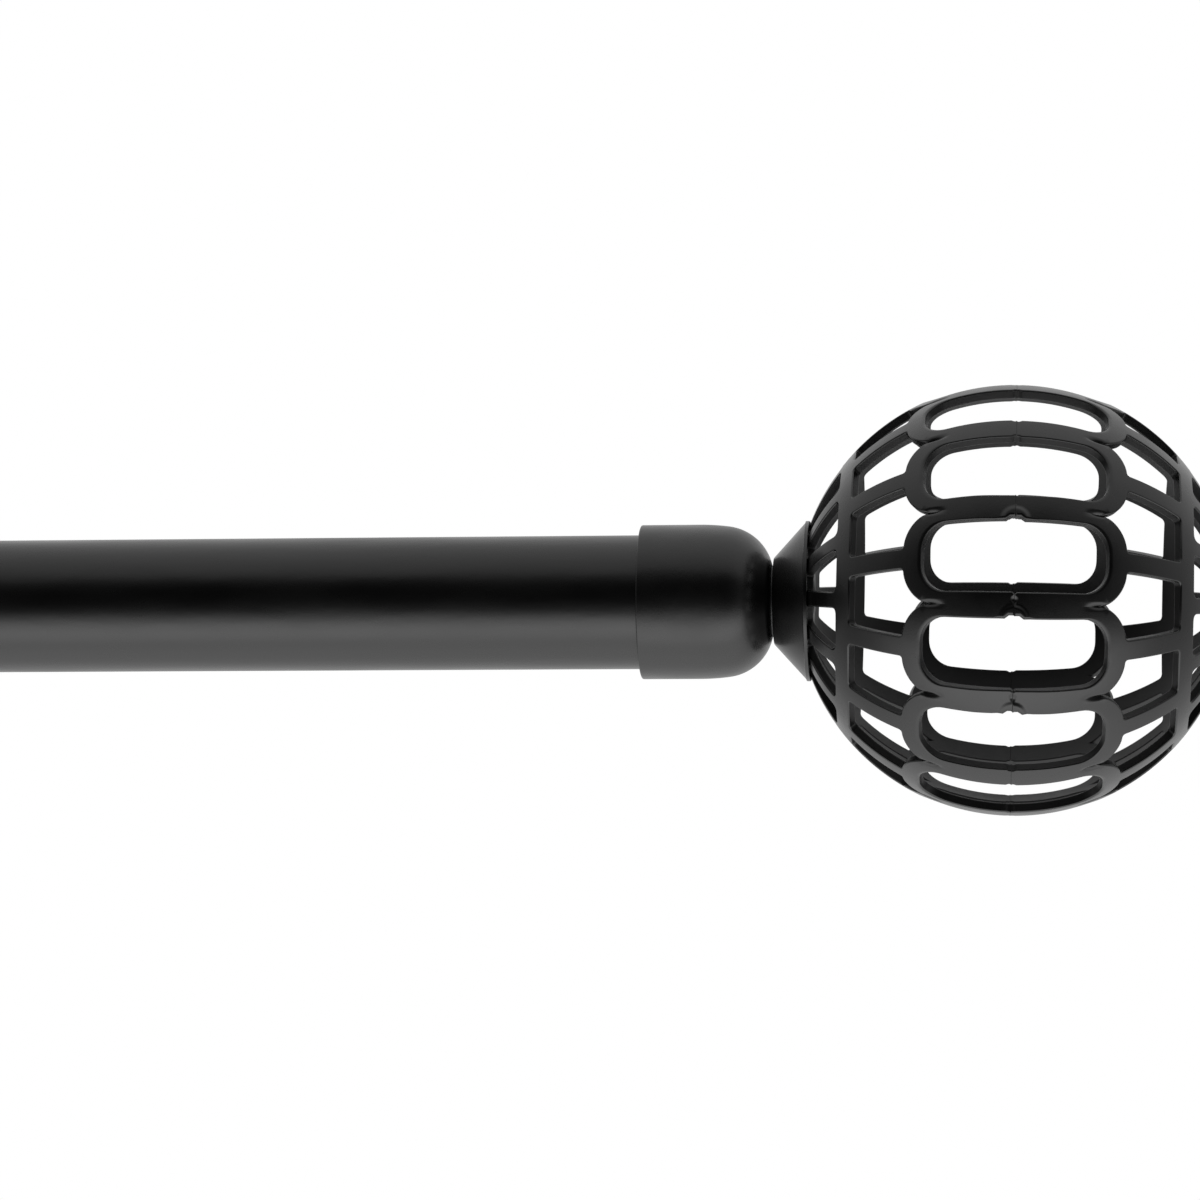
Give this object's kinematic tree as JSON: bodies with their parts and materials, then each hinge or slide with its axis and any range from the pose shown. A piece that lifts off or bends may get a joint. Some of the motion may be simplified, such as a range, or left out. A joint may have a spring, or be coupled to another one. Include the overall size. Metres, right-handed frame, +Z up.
{
  "type": "curtain rod with brackets",
  "caption": "Telescoping round curtain rod on cradle brackets with sliding arms; domed end caps carry screw-on pierced ball finials; hangs curtains from a wall.",
  "frame": {"origin": "on the wall, at the height of the rod's axis, midway between the two brackets: the centre of their four screw holes", "axes": "+X along the rod towards the end of the outer tube, +Y into the wall, +Z up; the room is on the -Y side"},
  "size_m": [0.9858, 0.1298, 0.0806],
  "materials": {
    "tube_paint": "satin black paint on steel tube",
    "bracket_paint": "satin black powder coat",
    "cap_black": "satin black, fine moulded grain",
    "finial_black": "satin black, moulded",
    "screw_black": "black oxide steel",
    "black_nylon": "matt black nylon",
    "clear_nylon": "natural nylon",
    "zinc_steel": "zinc-plated steel",
    "brass_insert": "turned brass"
  },
  "bodies": {
    "wall_brackets": {"left_wall_plate": "bracket_paint", "left_arm_sleeve": "bracket_paint", "left_lock_screw": "screw_black", "right_wall_plate": "bracket_paint", "right_arm_sleeve": "bracket_paint", "right_lock_screw": "screw_black"},
    "left_arm": {"left_arm_bar": "bracket_paint", "left_cradle": "bracket_paint"},
    "left_screw_tip": {"left_thumb_screw_tip": "clear_nylon"},
    "left_screw": {"left_thumb_screw": "screw_black"},
    "left_washer": {"left_finial_washer": "black_nylon"},
    "left_finial": {"left_neck_cup": "finial_black", "left_finial_stud": "zinc_steel", "left_inner_hub_insert": "brass_insert", "left_outer_hub_insert": "brass_insert", "left_ball_inner_half": "finial_black", "left_ball_outer_half": "finial_black", "left_seam_pins": "finial_black", "left_pole_button": "finial_black"},
    "right_arm": {"right_arm_bar": "bracket_paint", "right_cradle": "bracket_paint"},
    "right_screw_tip": {"right_thumb_screw_tip": "clear_nylon"},
    "right_screw": {"right_thumb_screw": "screw_black"},
    "right_washer": {"right_finial_washer": "black_nylon"},
    "right_finial": {"right_neck_cup": "finial_black", "right_finial_stud": "zinc_steel", "right_inner_hub_insert": "brass_insert", "right_outer_hub_insert": "brass_insert", "right_ball_inner_half": "finial_black", "right_ball_outer_half": "finial_black", "right_seam_pins": "finial_black", "right_pole_button": "finial_black"},
    "outer_rod": {"outer_tube": "tube_paint", "mouth_ring": "black_nylon", "right_end_plug": "black_nylon", "right_thread_insert": "brass_insert", "right_end_cap": "cap_black"},
    "inner_rod": {"inner_tube": "tube_paint", "inner_tube_guide": "black_nylon", "left_reducer_bush": "black_nylon", "left_end_plug": "black_nylon", "left_thread_insert": "brass_insert", "left_end_cap": "cap_black"}
  },
  "joints": [
    {"name": "right_arm_slide", "type": "slide", "parent": "wall_brackets", "child": "right_arm", "axis": [0, -1, 0], "range_m": [0, 0.025]},
    {"name": "left_arm_slide", "type": "slide", "parent": "wall_brackets", "child": "left_arm", "axis": [0, -1, 0], "range_m": [0, 0.025]},
    {"name": "rod_lift", "type": "slide", "parent": "right_arm", "child": "outer_rod", "axis": [0, 0, 1], "range_m": [0, 0.04]},
    {"name": "telescope", "type": "slide", "parent": "outer_rod", "child": "inner_rod", "axis": [-1, 0, 0], "range_m": [-0.1, 0.408]},
    {"name": "right_finial_travel", "type": "slide", "parent": "outer_rod", "child": "right_washer", "axis": [1, 0, 0], "range_m": [0, 0.006]},
    {"name": "right_finial_turn", "type": "hinge", "parent": "right_washer", "child": "right_finial", "pos_m": [0.45095, -0.089, 0], "axis": [1, 0, 0], "range_deg": [0, 2160]},
    {"name": "right_screw_travel", "type": "slide", "parent": "right_arm", "child": "right_screw_tip", "axis": [0, -1, 0], "range_m": [0, 0.004]},
    {"name": "right_screw_turn", "type": "hinge", "parent": "right_screw_tip", "child": "right_screw", "pos_m": [0.2108, -0.115, 0], "axis": [0, -1, 0], "range_deg": [0, 1800]},
    {"name": "left_finial_travel", "type": "slide", "parent": "inner_rod", "child": "left_washer", "axis": [-1, 0, 0], "range_m": [0, 0.006]},
    {"name": "left_finial_turn", "type": "hinge", "parent": "left_washer", "child": "left_finial", "pos_m": [-0.45095, -0.089, 0], "axis": [-1, 0, 0], "range_deg": [0, 2160]},
    {"name": "left_screw_travel", "type": "slide", "parent": "left_arm", "child": "left_screw_tip", "axis": [0, -1, 0], "range_m": [0, 0.004]},
    {"name": "left_screw_turn", "type": "hinge", "parent": "left_screw_tip", "child": "left_screw", "pos_m": [-0.2108, -0.115, 0], "axis": [0, -1, 0], "range_deg": [0, 1800]}
  ],
  "couplings": [
    {"joint": "left_arm_slide", "follows": "right_arm_slide", "ratio": 1},
    {"joint": "right_finial_turn", "follows": "right_finial_travel", "rad_per_m": 6283.2},
    {"joint": "right_screw_turn", "follows": "right_screw_travel", "rad_per_m": 7854},
    {"joint": "left_finial_turn", "follows": "left_finial_travel", "rad_per_m": 6283.2},
    {"joint": "left_screw_turn", "follows": "left_screw_travel", "rad_per_m": 7854}
  ]
}
